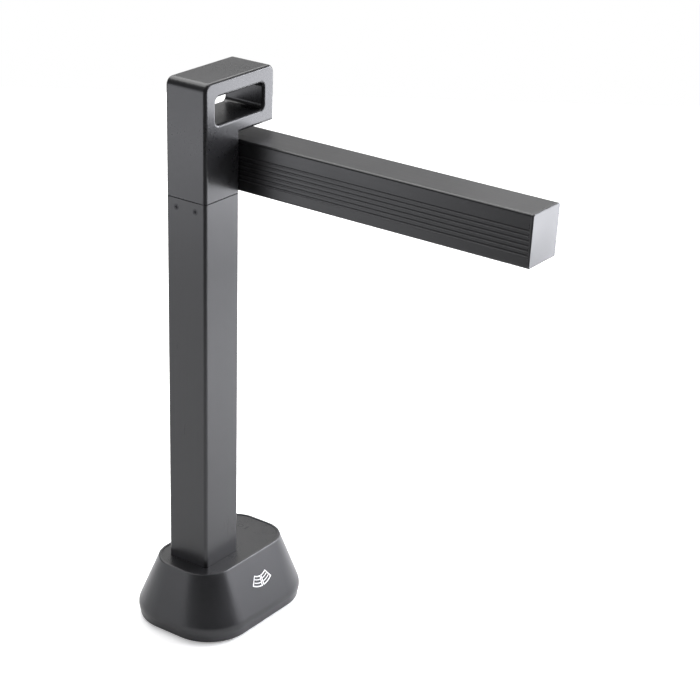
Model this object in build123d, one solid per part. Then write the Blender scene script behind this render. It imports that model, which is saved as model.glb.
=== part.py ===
from build123d import *
import os

# A desk book scanner: a weighted base, a square column, a head with a carrying
# handle, and a camera arm that folds down beside the column on a friction hinge.
# Millimetres. Origin: middle of the base's footprint, on the desk. The arm
# points to -Y at rest, its hinge is on the column's +X side, and +Z is up.

# ---------------------------------------------------------------- driving sizes
PAD_THICK = 1.0
BASE_HEIGHT = 45.2
BASE_WIDTH = 113.0
BASE_DEPTH = 85.2
BASE_CORNER = 31.7
RIM_HEIGHT = 9.05
RIM_INSET = 1.7
RIM_ROUND = 9.0
BOTTOM_ROUND = 1.2
LIP_ROUND = 0.9
DECK_WIDTH = 89.9
DECK_DEPTH = 55.3
DECK_CORNER = 20.6
DECK_INSET = 1.7
DECK_THICK = 2.0
DECK_RECESS = 0.4
BASE_WALL = 2.5

COLUMN_WIDTH = 33.7
COLUMN_DEPTH = 32.3
COLUMN_LEFT = -32.7
COLUMN_FRONT = -14.8
COLUMN_ROUND = 2.2
COLUMN_WALL = 2.0
COLUMN_HEIGHT = 258.2
COLUMN_SOCKET = 21.2

HEAD_HEIGHT = 76.8
HEAD_WIDTH = 68.1
HEAD_ROUND = 5.5
HEAD_WALL = 3.4
HEAD_FRONT_WALL = 2.5
OVERHANG_THICK = 37.2
JOINT_GAP = 0.25

WINDOW_LEFT = 10.4
WINDOW_RIGHT = 57.5
WINDOW_LOW = 307.3
WINDOW_HIGH = 324.9
WINDOW_CORNER = 3.2
WINDOW_LIP = 1.9
TUNNEL_WALL = 2.2

COVER_INSET = 2.6
COVER_THICK = 1.8
COVER_RECESS = 0.2
COVER_GAP = 0.1

ARM_WIDTH = 30.2
ARM_HEIGHT = 33.9
ARM_GAP = 0.6
ARM_UNDER_OVERHANG = 5.5
ARM_REACH = 215.6
ARM_WALL = 2.0
ARM_ROUND = 1.6
ARM_TIP_SLANT = 1.3
CAP_THICK = 2.2
ROOT_CAP_THICK = 4.0
ROOT_ROUND = 3.5
RIDGE_COUNT = 6
RIDGE_FIRST = 0.302
RIDGE_PITCH = 0.0906
RIDGE_BASE = 1.5
RIDGE_TOP = 0.5
RIDGE_PROUD = 0.22

SHAFT_R = 5.0
SHAFT_BORE_R = 2.2
BUSH_R = 7.0
BUSH_CLEARANCE = 0.03
BUSH_LENGTH = 5.0
FRAME_LENGTH = 12.0

LENS_BACK = 21.0
LENS_R = 6.0
WINDOW_R = 9.0
WINDOW_THICK = 1.2
LED_COUNT = 12
LED_STRIP = 132.0
CABLE_R = 1.2

# ---------------------------------------------------------------- derived places
DECK_TOP = PAD_THICK + BASE_HEIGHT
COLUMN_RIGHT = COLUMN_LEFT + COLUMN_WIDTH
COLUMN_BACK = COLUMN_FRONT + COLUMN_DEPTH
COLUMN_X = COLUMN_LEFT + COLUMN_WIDTH / 2
COLUMN_Y = COLUMN_FRONT + COLUMN_DEPTH / 2
COLUMN_FOOT_Z = DECK_TOP - COLUMN_SOCKET
JOINT_Z = DECK_TOP + COLUMN_HEIGHT
HEAD_TOP = JOINT_Z + HEAD_HEIGHT
HEAD_RIGHT = COLUMN_LEFT + HEAD_WIDTH
OVERHANG_Z = HEAD_TOP - OVERHANG_THICK
TUNNEL = (COLUMN_LEFT + WINDOW_LEFT, COLUMN_LEFT + WINDOW_RIGHT,
          DECK_TOP + WINDOW_LOW, DECK_TOP + WINDOW_HIGH)
COVER_BACK = COLUMN_BACK - COVER_RECESS
COVER_FRONT = COVER_BACK - COVER_THICK

ARM_LEFT = COLUMN_RIGHT + ARM_GAP
ARM_RIGHT = ARM_LEFT + ARM_WIDTH
ARM_X = ARM_LEFT + ARM_WIDTH / 2
ARM_TOP = OVERHANG_Z - ARM_UNDER_OVERHANG
ARM_LOW = ARM_TOP - ARM_HEIGHT
ARM_TIP = COLUMN_FRONT - ARM_REACH
ARM_FRONT = ARM_TIP + CAP_THICK
ARM_BACK = COLUMN_BACK - ROOT_CAP_THICK
PIVOT_Y = COLUMN_Y
PIVOT_Z = ARM_TOP - ARM_HEIGHT / 2

FRAME_RIGHT = COLUMN_RIGHT - HEAD_WALL
FRAME_LEFT = FRAME_RIGHT - FRAME_LENGTH
FRAME_FRONT = COLUMN_FRONT + HEAD_FRONT_WALL
FRAME_BACK = COLUMN_BACK - 4.0
CABLE_X = COLUMN_LEFT + 6.7
LENS_Y = ARM_TIP + LENS_BACK
COVER_TOP = ARM_LOW + ARM_WALL

os.makedirs("parts", exist_ok=True)


# ---------------------------------------------------------------- helpers
def save(shape, node):
    """Write one node's solids to its STEP file."""
    export_step(shape, f"parts/{node}.step")


def group(solids):
    """Several equal pieces that share one node."""
    return Compound(children=[solid.solid() for solid in solids])


def block(x0, x1, y0, y1, z0, z1):
    middle = Pos((x0 + x1) / 2, (y0 + y1) / 2, (z0 + z1) / 2)
    return middle * Box(x1 - x0, y1 - y0, z1 - z0)


def rod(axis, start, end, a, b, radius):
    """A round rod along X, Y or Z; a and b are the other two coordinates in X, Y, Z order."""
    length = end - start
    middle = (start + end) / 2
    if axis == "X":
        return Pos(middle, a, b) * Rot(0, 90, 0) * Cylinder(radius, length)
    if axis == "Y":
        return Pos(a, middle, b) * Rot(90, 0, 0) * Cylinder(radius, length)
    return Pos(a, b, middle) * Cylinder(radius, length)


def cone_along(direction, tip, flat_r, deep_r, depth):
    """A cone frustum whose wide face is at tip and whose axis points along direction."""
    plane = Plane(origin=tip, z_dir=direction)
    wide = plane * Circle(flat_r)
    narrow = plane.offset(depth) * Circle(deep_r)
    return loft([wide, narrow])


def pin_along(direction, tip, radius, depth):
    """A cylinder that starts at tip and runs depth along direction."""
    return extrude(Plane(origin=tip, z_dir=direction) * Circle(radius), depth)


def flat_screw(direction, tip, head_r, shank_r, length):
    """A countersunk screw with a cross recess, driven along direction from tip."""
    head = cone_along(direction, tip, head_r, shank_r, head_r - shank_r)
    shank = pin_along(direction, tip, shank_r, length)
    plane = Plane(origin=tip, z_dir=direction)
    cross = plane * Rectangle(head_r * 1.1, 0.5) + plane * Rectangle(0.5, head_r * 1.1)
    return head + shank - extrude(cross, 0.6)


def flat_screw_hole(direction, tip, head_r, shank_r, length):
    """The space that flat_screw fills."""
    head = cone_along(direction, tip, head_r, shank_r, head_r - shank_r)
    return head + pin_along(direction, tip, shank_r, length)


def pan_screw(direction, seat, head_r, head_high, shank_r, length):
    """A round-headed screw whose head rests at seat, driven along direction."""
    back = Plane(origin=seat, z_dir=direction).offset(-head_high)
    head = extrude(back * Circle(head_r), head_high)
    recess = back * Rectangle(head_r * 1.1, 0.5) + back * Rectangle(0.5, head_r * 1.1)
    return head + pin_along(direction, seat, shank_r, length) - extrude(recess, head_high * 0.5)


def rounded_block(x0, x1, y0, y1, z0, z1, radius):
    """A block with rounded vertical edges."""
    outline = Pos((x0 + x1) / 2, (y0 + y1) / 2, z0) * RectangleRounded(x1 - x0, y1 - y0, radius)
    return extrude(outline, z1 - z0)


def at_corners(middle_x, middle_y, half_x, half_y):
    """The four corners of a rectangle."""
    return [(middle_x + sx * half_x, middle_y + sy * half_y) for sx in (-1, 1) for sy in (-1, 1)]


# ---------------------------------------------------------------- base
def base_outline(z, inset=0.0):
    """The base's rounded rectangle at height z, drawn in by inset."""
    if z <= PAD_THICK + RIM_HEIGHT:
        share = (PAD_THICK + RIM_HEIGHT - z) / RIM_HEIGHT
        width = BASE_WIDTH - 2 * RIM_INSET * share
        depth = BASE_DEPTH - 2 * RIM_INSET * share
        corner = BASE_CORNER - RIM_INSET * share
    else:
        share = (z - PAD_THICK - RIM_HEIGHT) / (BASE_HEIGHT - RIM_HEIGHT)
        width = BASE_WIDTH + (DECK_WIDTH - BASE_WIDTH) * share
        depth = BASE_DEPTH + (DECK_DEPTH - BASE_DEPTH) * share
        corner = BASE_CORNER + (DECK_CORNER - BASE_CORNER) * share
    return Pos(0, 0, z) * RectangleRounded(width - 2 * inset, depth - 2 * inset, corner - inset)


def base_body(inset, top):
    """The tapered body of the base up to top, drawn in by inset."""
    rim_z = PAD_THICK + RIM_HEIGHT
    band = loft([base_outline(PAD_THICK, inset), base_outline(rim_z, inset)], ruled=True)
    skirt = loft([base_outline(rim_z, inset), base_outline(top, inset)], ruled=True)
    return band + skirt


BASE_POSTS = at_corners(0, 0, 42.0, 12.0)
BALLAST = (-37.0, 37.0, -28.0, 21.0, PAD_THICK + DECK_THICK, COLUMN_FOOT_Z - 4.0)
SOCKET_Z = 5.9
SOCKET_WIDTH = 8.9
SOCKET_HIGH = 3.2
BOARD_LOW = SOCKET_Z + SOCKET_HIGH / 2
BOARD_THICK = 1.6
BOARD_SPAN = (-29.0, 25.0, 23.0, 36.0)
BOARD_HOLES = [(-21.0, 26.0), (21.0, 26.0)]
SOCKET_BACK = BASE_DEPTH / 2 - 0.9


def base_shell():
    outer = base_body(0.0, DECK_TOP)
    rim = [e for e in outer.edges() if abs(e.center().Z - PAD_THICK - RIM_HEIGHT) < 0.01]
    outer = fillet(rim, RIM_ROUND)
    outer = fillet(outer.faces().sort_by(Axis.Z)[0].edges(), BOTTOM_ROUND)
    lip = [e for e in outer.edges() if abs(e.center().Z - DECK_TOP) < 0.01]
    outer = fillet(lip, LIP_ROUND)
    shell = outer - base_body(BASE_WALL, DECK_TOP - 3.5)
    recess_floor = DECK_TOP - DECK_RECESS - DECK_THICK
    shell -= extrude(base_outline(DECK_TOP, DECK_INSET), -(DECK_TOP - recess_floor))
    shell -= extrude(base_outline(DECK_TOP, 5.0), -8)
    for x, y in BASE_POSTS:
        shell += rod("Z", PAD_THICK + DECK_THICK, 40.0, x, y, 3.5) & outer
        shell -= rod("Z", PAD_THICK, 14.0, x, y, 1.5)
    mouth = block(-SOCKET_WIDTH / 2 - 0.15, SOCKET_WIDTH / 2 + 0.15, 36, 44,
                  SOCKET_Z - SOCKET_HIGH / 2 - 0.15, SOCKET_Z + SOCKET_HIGH / 2 + 0.15)
    return shell - mouth


def deck_panel():
    top = DECK_TOP - DECK_RECESS
    panel = extrude(base_outline(DECK_TOP, DECK_INSET + 0.12), -DECK_THICK)
    panel = Pos(0, 0, -DECK_RECESS) * panel
    hole = rounded_block(COLUMN_LEFT - 0.15, COLUMN_RIGHT + 0.15, COLUMN_FRONT - 0.15,
                         COLUMN_BACK + 0.15, top - 5, top + 5, COLUMN_ROUND)
    return panel - hole - group(touch_key_marks())


MARK_X = 29.4
MARK_Y = 2.9
MARK_APART = 2.6
MARK_DEEP = 0.15


def touch_key_marks():
    """Two printed key marks beside the column: a ring for scan and a bar for light."""
    top = DECK_TOP - DECK_RECESS - MARK_DEEP
    ring = extrude(Pos(MARK_X, MARK_Y + MARK_APART, top) * (Circle(2.2) - Circle(1.2)), MARK_DEEP)
    bar = extrude(Pos(MARK_X, MARK_Y - MARK_APART, top) * RectangleRounded(4.8, 1.5, 0.74), MARK_DEEP)
    return [ring, bar]


def touch_sensor_board():
    """The key sensor, glued under the deck panel."""
    top = DECK_TOP - DECK_RECESS - DECK_THICK
    return block(14.0, 34.0, -10.0, 10.0, top - 1.0, top)


def base_plate():
    plate = extrude(base_outline(PAD_THICK, BASE_WALL + 0.2), DECK_THICK)
    for x, y in BASE_POSTS:
        plate -= flat_screw_hole((0, 0, 1), (x, y, PAD_THICK), 2.8, 1.5, 12)
    for x, y in BALLAST_SCREWS:
        plate -= flat_screw_hole((0, 0, 1), (x, y, PAD_THICK), 2.8, 1.5, 12)
    return plate


BALLAST_SCREWS = at_corners(0, -3.5, 31.0, 20.0)
FOOT_SCREWS = at_corners(COLUMN_X + 3.0, COLUMN_Y, 7.0, 9.0)


def plate_screws(places):
    return [flat_screw((0, 0, 1), (x, y, PAD_THICK), 2.8, 1.5, 10) for x, y in places]


def ballast_weight():
    x0, x1, y0, y1, z0, z1 = BALLAST
    weight = rounded_block(x0, x1, y0, y1, z0, z1, 5)
    for x, y in BALLAST_SCREWS:
        weight -= rod("Z", z0, 12, x, y, 1.5)
    for x, y in FOOT_SCREWS:
        weight -= rod("Z", z0, z0 + 4, x, y, 3.4)
        weight -= rod("Z", z0, z1, x, y, 1.7)
    return weight


def rubber_pad():
    return Pos(0, 0, -PAD_THICK) * extrude(base_outline(PAD_THICK, BASE_WALL + 1.0), PAD_THICK)


def column_foot():
    """A cast foot: a flange on the ballast and a plug inside the column."""
    flange_low = BALLAST[5]
    foot = block(COLUMN_LEFT - 3, COLUMN_RIGHT + 3, COLUMN_FRONT - 3, COLUMN_BACK + 3,
                 flange_low, COLUMN_FOOT_Z)
    gap = COLUMN_WALL + 0.1
    foot += rounded_block(COLUMN_LEFT + gap, COLUMN_RIGHT - gap, COLUMN_FRONT + gap,
                          COLUMN_BACK - gap, COLUMN_FOOT_Z, COLUMN_FOOT_Z + 18, 0.8)
    foot -= block(CABLE_X - 2.5, CABLE_X + 2.5, COLUMN_Y - 2.5, COLUMN_BACK, COLUMN_FOOT_Z,
                  COLUMN_FOOT_Z + 18)
    for x, y in FOOT_SCREWS:
        foot -= rod("Z", flange_low, flange_low + 15, x, y, 1.6)
    for direction, seat in TUBE_SCREWS:
        foot -= pin_along(direction, seat, 1.5, 8)
    return foot


TUBE_SCREW_Z = COLUMN_FOOT_Z + 7.0
TUBE_SCREWS = [((0, 1, 0), (COLUMN_X + 3, COLUMN_FRONT, TUBE_SCREW_Z)),
               ((0, -1, 0), (COLUMN_X + 3, COLUMN_BACK, TUBE_SCREW_Z)),
               ((-1, 0, 0), (COLUMN_RIGHT, COLUMN_Y, TUBE_SCREW_Z))]


def column_foot_screws():
    seat = BALLAST[4] + 4
    return [pan_screw((0, 0, 1), (x, y, seat), 3.2, 3.0, 1.6, 29) for x, y in FOOT_SCREWS]


def column_tube_screws():
    return [pan_screw(direction, seat, 2.6, 1.6, 1.5, 8) for direction, seat in TUBE_SCREWS]


def base_board():
    x0, x1, y0, y1 = BOARD_SPAN
    board = block(x0, x1, y0, y1, BOARD_LOW, BOARD_LOW + BOARD_THICK)
    chip = block(-6, 6, 26, 33, BOARD_LOW + BOARD_THICK, BOARD_LOW + BOARD_THICK + 1.2)
    for x, y in BOARD_HOLES:
        board -= rod("Z", 0, 20, x, y, 1.1)
    return board + chip


def board_standoffs():
    low = PAD_THICK + DECK_THICK
    return [rod("Z", low, BOARD_LOW, x, y, 2.2) - rod("Z", low, 20, x, y, 1.0)
            for x, y in BOARD_HOLES]


def board_screws():
    seat = BOARD_LOW + BOARD_THICK
    return [pan_screw((0, 0, -1), (x, y, seat), 1.9, 1.2, 1.0, 4.5) for x, y in BOARD_HOLES]


def usb_socket():
    """A USB-C receptacle under the board, its mouth in the back of the rim."""
    half = SOCKET_WIDTH / 2
    low = SOCKET_Z - SOCKET_HIGH / 2
    shell = rounded_along_y(-half, half, 32.5, SOCKET_BACK, low, low + SOCKET_HIGH, 1.5)
    wall = 0.35
    shell -= rounded_along_y(-half + wall, half - wall, 34.5, SOCKET_BACK + 1, low + wall,
                             low + SOCKET_HIGH - wall, 1.15)
    tongue = block(-3.3, 3.3, 34.4, SOCKET_BACK - 1.2, SOCKET_Z - 0.35, SOCKET_Z + 0.35)
    return shell + tongue


def rounded_along_y(x0, x1, y0, y1, z0, z1, radius):
    """A block with its four edges along Y rounded."""
    plane = Plane(origin=((x0 + x1) / 2, y0, (z0 + z1) / 2), x_dir=(1, 0, 0), z_dir=(0, 1, 0))
    return extrude(plane * RectangleRounded(x1 - x0, z1 - z0, radius), y1 - y0)


# ---------------------------------------------------------------- column
COLUMN_SCREW_Z = JOINT_Z - 6.4
COLUMN_SCREW_Y = 7.75
COLUMN_SCREWS = [(side, y) for side in (-1, 1)
                 for y in (COLUMN_Y - COLUMN_SCREW_Y, COLUMN_Y + COLUMN_SCREW_Y)]


def column_screw_place(side, y):
    x = COLUMN_LEFT if side < 0 else COLUMN_RIGHT
    return (-side, 0, 0), (x, y, COLUMN_SCREW_Z)


def column_tube():
    tube = rounded_block(COLUMN_LEFT, COLUMN_RIGHT, COLUMN_FRONT, COLUMN_BACK,
                         COLUMN_FOOT_Z, JOINT_Z - JOINT_GAP, COLUMN_ROUND)
    top = [e for e in tube.edges() if abs(e.center().Z - JOINT_Z + JOINT_GAP) < 0.01]
    tube = chamfer(top, 0.4)
    wall = COLUMN_WALL
    tube -= rounded_block(COLUMN_LEFT + wall, COLUMN_RIGHT - wall, COLUMN_FRONT + wall,
                          COLUMN_BACK - wall, COLUMN_FOOT_Z, JOINT_Z, 0.6)
    for side, y in COLUMN_SCREWS:
        direction, tip = column_screw_place(side, y)
        tube -= flat_screw_hole(direction, tip, 2.1, 1.25, 4)
    for direction, seat in TUBE_SCREWS:
        tube -= pin_along(direction, seat, 1.5, 5)
    notch = block(CABLE_X - 2.5, CABLE_X + 2.5, COLUMN_Y, COLUMN_BACK + 1,
                  COLUMN_FOOT_Z, COLUMN_FOOT_Z + 13)
    return tube - notch


def column_screws():
    screws = []
    for side, y in COLUMN_SCREWS:
        direction, tip = column_screw_place(side, y)
        screws.append(flat_screw(direction, tip, 2.1, 1.25, 7))
    return screws


def cable(points, radii):
    """A round cable along straight runs joined by arcs."""
    path = FilletPolyline(*points, radius=radii)
    start = Plane(origin=path @ 0, z_dir=path % 0)
    return sweep(start * Circle(CABLE_R), path=path)


def column_cable():
    """From the hinge's hollow shaft down the column to the board in the base."""
    board_y = 28.0
    points = [(-12, PIVOT_Y, PIVOT_Z), (CABLE_X, PIVOT_Y, PIVOT_Z), (CABLE_X, PIVOT_Y, 33),
              (CABLE_X, board_y, 33), (CABLE_X, board_y, BOARD_LOW + BOARD_THICK)]
    return cable(points, [4.0, 5.0, 6.0])


# ---------------------------------------------------------------- head
def head_profile(inset=0.0):
    """The head's outline in the XZ plane: a block with an overhang to +X."""
    left = COLUMN_LEFT + inset
    neck = COLUMN_RIGHT - inset
    right = HEAD_RIGHT - inset
    low = JOINT_Z + inset
    under = OVERHANG_Z + inset
    high = HEAD_TOP - inset
    corner = max(HEAD_ROUND - inset, 1.0)
    with BuildSketch(Plane.XZ) as profile:
        with BuildLine():
            Polyline((left, low), (left, high), (right, high), (right, under),
                     (neck, under), (neck, low), close=True)
        make_face()
        tops = profile.vertices().group_by(Axis.Y)[-1]
        fillet(tops, corner)
    return profile.sketch


def slab_y(face, y0, y1):
    """A face in the XZ plane, swept from y0 to y1."""
    return Pos(0, y1, 0) * extrude(face, y1 - y0)


def window_face(grow=0.0):
    x0, x1, z0, z1 = TUNNEL
    plane = Plane(origin=((x0 + x1) / 2, 0, (z0 + z1) / 2), x_dir=(1, 0, 0), z_dir=(0, -1, 0))
    return plane * RectangleRounded(x1 - x0 + 2 * grow, z1 - z0 + 2 * grow, WINDOW_CORNER + grow)


COVER_SCREWS = [(-27.5, 375.9), (30.2, 375.9), (30.2, 348.7), (-10.0, 341.6)]
COVER_LOW_SCREW = (-5.5, 309.0)
FRAME_SCREWS = [(-11.5, 310.5), (-11.5, 333.5)]
POST_R = 2.2


def head_housing():
    body = slab_y(head_profile(), COLUMN_FRONT, COLUMN_BACK)
    low_face = body.faces().sort_by(Axis.Z)[0]
    low_edges = low_face.edges()
    faces_y = [f for f in body.faces() if abs(f.normal_at().Y) > 0.99]
    rims = [e for f in faces_y for e in f.edges() if all(not e.is_same(l) for l in low_edges)]
    body = fillet(rims, COLUMN_ROUND)
    body -= slab_y(window_face(), COLUMN_FRONT - 1, COLUMN_BACK + 1)
    lips = []
    for edge in body.edges():
        middle = edge.center()
        in_x = TUNNEL[0] - 0.5 < middle.X < TUNNEL[1] + 0.5
        in_z = TUNNEL[2] - 0.5 < middle.Z < TUNNEL[3] + 0.5
        on_end = min(abs(middle.Y - COLUMN_FRONT), abs(middle.Y - COLUMN_BACK)) < 0.01
        if in_x and in_z and on_end:
            lips.append(edge)
    body = fillet(lips, WINDOW_LIP)
    body -= slab_y(head_profile(HEAD_WALL) - window_face(TUNNEL_WALL), FRAME_FRONT, COLUMN_BACK + 1)
    body -= block(COLUMN_LEFT + HEAD_WALL, FRAME_RIGHT, FRAME_FRONT, COVER_BACK,
                  JOINT_Z - 1, JOINT_Z + 8)
    cover_seat = head_profile(COVER_INSET - COVER_GAP) - window_face(TUNNEL_WALL)
    body -= slab_y(cover_seat, COVER_FRONT, COLUMN_BACK + 1)
    inside = slab_y(head_profile(1.0), FRAME_FRONT - 1, COVER_FRONT) - slab_y(window_face(), -99, 99)
    for x, z in COVER_SCREWS:
        body += rod("Y", FRAME_FRONT - 1, COVER_FRONT, x, z, POST_R) & inside
        body -= rod("Y", COVER_FRONT - 6, COVER_BACK, x, z, 0.9)
    for x, z in FRAME_SCREWS:
        body += rod("Y", FRAME_FRONT - 0.5, FRAME_FRONT + 4, x, z, 3.2)
        body -= rod("Y", FRAME_FRONT - 1, FRAME_FRONT + 5, x, z, 1.53)
    return body - rod("X", FRAME_RIGHT - 1, COLUMN_RIGHT + 1, PIVOT_Y, PIVOT_Z, SHAFT_R + 0.4)


def head_rear_cover():
    face = head_profile(COVER_INSET) - window_face(TUNNEL_WALL + COVER_GAP)
    cover = slab_y(face, COVER_FRONT, COVER_BACK)
    for x, z in COVER_SCREWS + [COVER_LOW_SCREW]:
        cover -= flat_screw_hole((0, -1, 0), (x, COVER_BACK, z), 1.8, 0.9, 4)
    return cover


def head_cover_screws():
    return [flat_screw((0, -1, 0), (x, COVER_BACK, z), 1.8, 0.9, 5)
            for x, z in COVER_SCREWS + [COVER_LOW_SCREW]]


def head_frame():
    """A cast frame: a spigot in the column, and a block that carries the hinge's bushes."""
    gap = COLUMN_WALL + 0.1
    spigot = rounded_block(COLUMN_LEFT + gap, COLUMN_RIGHT - gap, COLUMN_FRONT + gap,
                           COLUMN_BACK - gap, JOINT_Z - 26, JOINT_Z, 0.8)
    spigot -= block(COLUMN_X - 4, COLUMN_X + 9, COLUMN_Y - 9, COLUMN_Y + 9, JOINT_Z - 27, JOINT_Z - 4)
    floor = block(COLUMN_LEFT + HEAD_WALL + 0.1, FRAME_RIGHT, FRAME_FRONT, FRAME_BACK,
                  JOINT_Z, JOINT_Z + 3)
    carrier = block(FRAME_LEFT, FRAME_RIGHT, FRAME_FRONT, FRAME_BACK, JOINT_Z + 3, JOINT_Z + 34)
    frame = spigot + floor + carrier
    frame -= rod("Z", JOINT_Z - 27, JOINT_Z + 4, CABLE_X, COLUMN_Y, 2.2)
    frame -= rod("X", FRAME_LEFT - 1, FRAME_RIGHT + 1, PIVOT_Y, PIVOT_Z, BUSH_R)
    for x, z in FRAME_SCREWS:
        frame -= rod("Y", FRAME_FRONT - 1, FRAME_FRONT + 4.1, x, z, 3.3)
        frame -= rod("Y", FRAME_FRONT, FRAME_BACK + 1, x, z, 1.6)
    x, z = COVER_LOW_SCREW
    frame += rod("Y", FRAME_BACK - 1, COVER_FRONT, x, z, 2.0)
    frame -= rod("Y", FRAME_BACK - 3, COVER_FRONT + 1, x, z, 0.9)
    for side, y in COLUMN_SCREWS:
        direction, tip = column_screw_place(side, y)
        frame -= pin_along(direction, tip, 1.25, 7.2)
    return frame


def head_frame_screws():
    return [pan_screw((0, -1, 0), (x, FRAME_BACK, z), 2.4, 1.5, 1.5, FRAME_BACK - FRAME_FRONT + 0.5)
            for x, z in FRAME_SCREWS]


# ---------------------------------------------------------------- hinge
SHAFT_END = FRAME_LEFT - 7.3
FLANGE_LEFT = ARM_LEFT + ARM_WALL
FLANGE_RIGHT = FLANGE_LEFT + 3.0
FLANGE_R = 11.0
WASHER_R = 13.0
FLANGE_SCREWS = [(PIVOT_Y + sy * 5.7, PIVOT_Z + sz * 5.7) for sy in (-1, 1) for sz in (-1, 1)]


def ring_x(x0, x1, inner, outer):
    """A flat ring round the hinge's axis."""
    return (rod("X", x0, x1, PIVOT_Y, PIVOT_Z, outer)
            - rod("X", x0 - 1, x1 + 1, PIVOT_Y, PIVOT_Z, inner))


def hinge_shaft():
    shaft = rod("X", SHAFT_END, FLANGE_LEFT + 1, PIVOT_Y, PIVOT_Z, SHAFT_R)
    shaft += rod("X", FLANGE_LEFT, FLANGE_RIGHT, PIVOT_Y, PIVOT_Z, FLANGE_R)
    shaft -= rod("X", SHAFT_END - 1, FLANGE_RIGHT + 1, PIVOT_Y, PIVOT_Z, SHAFT_BORE_R)
    for y, z in FLANGE_SCREWS:
        shaft -= pin_along((1, 0, 0), (ARM_LEFT, y, z), 1.0, 5.2)
    return shaft


def hinge_bushes():
    inner = SHAFT_R + BUSH_CLEARANCE
    return [ring_x(FRAME_LEFT, FRAME_LEFT + BUSH_LENGTH, inner, BUSH_R),
            ring_x(FRAME_RIGHT - BUSH_LENGTH, FRAME_RIGHT, inner, BUSH_R)]


def friction_washers():
    inner = SHAFT_R + 0.02
    return [ring_x(FRAME_LEFT - 0.9, FRAME_LEFT - 0.1, inner, 9.5),
            ring_x(FRAME_LEFT - 4.3, FRAME_LEFT - 3.6, inner, 9.5)]


def disc_springs():
    """Four coned springs, stacked face to face in pairs."""
    springs = []
    pitch = 0.65
    for index in range(4):
        start = FRAME_LEFT - 3.55 + index * pitch
        outer = rod("X", start, start + 0.6, PIVOT_Y, PIVOT_Z, 9.0)
        springs.append(outer - rod("X", start - 1, start + 2, PIVOT_Y, PIVOT_Z, SHAFT_R + 0.15))
    return springs


def hinge_nut():
    plane = Plane(origin=(FRAME_LEFT - 7.0, PIVOT_Y, PIVOT_Z), x_dir=(0, 1, 0), z_dir=(1, 0, 0))
    nut = extrude(plane * RegularPolygon(8.0, 6), 2.6)
    return nut - rod("X", FRAME_LEFT - 9, FRAME_LEFT, PIVOT_Y, PIVOT_Z, SHAFT_R + 0.01)


def thrust_washer():
    return ring_x(ARM_LEFT - 0.4, ARM_LEFT, 10.2, WASHER_R)


def hinge_flange_screws():
    return [flat_screw((1, 0, 0), (ARM_LEFT, y, z), 1.9, 1.0, 4.8) for y, z in FLANGE_SCREWS]


# ---------------------------------------------------------------- arm
def arm_ridges(side):
    """The low ridges along one side face of the arm; side is -1 for left, +1 for right."""
    face_x = ARM_LEFT if side < 0 else ARM_RIGHT
    ridges = []
    for index in range(RIDGE_COUNT):
        z = ARM_TOP - ARM_HEIGHT * (RIDGE_FIRST + RIDGE_PITCH * index)
        outer_x = face_x + side * RIDGE_PROUD
        root_x = face_x - side * 0.3
        with BuildSketch(Plane.XZ) as section:
            with BuildLine():
                Polyline((root_x, z - RIDGE_BASE / 2), (face_x, z - RIDGE_BASE / 2),
                         (outer_x, z - RIDGE_TOP / 2), (outer_x, z + RIDGE_TOP / 2),
                         (face_x, z + RIDGE_BASE / 2), (root_x, z + RIDGE_BASE / 2), close=True)
            make_face()
        ridges.append(slab_y(section.sketch, ARM_FRONT, ARM_BACK))
    return ridges


def arm_extrusion():
    """A channel, open below, with ridges along both sides."""
    shape = rounded_along_y(ARM_LEFT, ARM_RIGHT, ARM_FRONT, ARM_BACK, ARM_LOW, ARM_TOP, ARM_ROUND)
    wall = ARM_WALL
    shape -= block(ARM_LEFT + wall, ARM_RIGHT - wall, ARM_FRONT - 1, ARM_BACK + 1,
                   ARM_LOW - 1, ARM_TOP - wall)
    for side in (-1, 1):
        for ridge in arm_ridges(side):
            shape += ridge
    shape -= rod("X", ARM_LEFT - 1, ARM_LEFT, PIVOT_Y, PIVOT_Z, WASHER_R + 0.3)
    shape -= rod("X", ARM_LEFT - 1, ARM_LEFT + wall + 1, PIVOT_Y, PIVOT_Z, SHAFT_R + 0.05)
    for y, z in FLANGE_SCREWS:
        shape -= flat_screw_hole((1, 0, 0), (ARM_LEFT, y, z), 1.9, 1.0, 4)
    return shape


STRIP_FRONT = LENS_Y + 22.0
STRIP_BACK = STRIP_FRONT + LED_STRIP
STRIP_HALF = 8.0
COVER_LEFT = ARM_LEFT + ARM_WALL + 0.1
COVER_RIGHT = ARM_RIGHT - ARM_WALL - 0.1
ARM_COVER_SCREWS = [(ARM_X - 8, ARM_FRONT + 3.5), (ARM_X + 8, ARM_FRONT + 3.5),
                    (ARM_X - 8, ARM_BACK - 3.5), (ARM_X + 8, ARM_BACK - 3.5)]
LUG_HIGH = 7.0


def arm_bottom_cover():
    cover = block(COVER_LEFT, COVER_RIGHT, ARM_FRONT, ARM_BACK, ARM_LOW, COVER_TOP)
    for side in (-1, 1):
        x = ARM_X + side * (STRIP_HALF + 2.5)
        cover += block(x - 0.8, x + 0.8, STRIP_FRONT, STRIP_BACK, COVER_TOP, COVER_TOP + 5)
    cover -= block(ARM_X - STRIP_HALF, ARM_X + STRIP_HALF, STRIP_FRONT, STRIP_BACK,
                   ARM_LOW - 1, COVER_TOP + 1)
    cover -= rod("Z", ARM_LOW - 1, ARM_LOW + WINDOW_THICK, ARM_X, LENS_Y, WINDOW_R)
    cover -= rod("Z", ARM_LOW, COVER_TOP + 1, ARM_X, LENS_Y, WINDOW_R - 1.2)
    for x, y in ARM_COVER_SCREWS:
        cover -= flat_screw_hole((0, 0, 1), (x, y, ARM_LOW), 1.9, 1.0, 4)
    for x, y in CAMERA_SCREWS:
        cover -= rod("Z", ARM_LOW + 0.8, COVER_TOP + 1, x, y, 0.8)
    return cover


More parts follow.
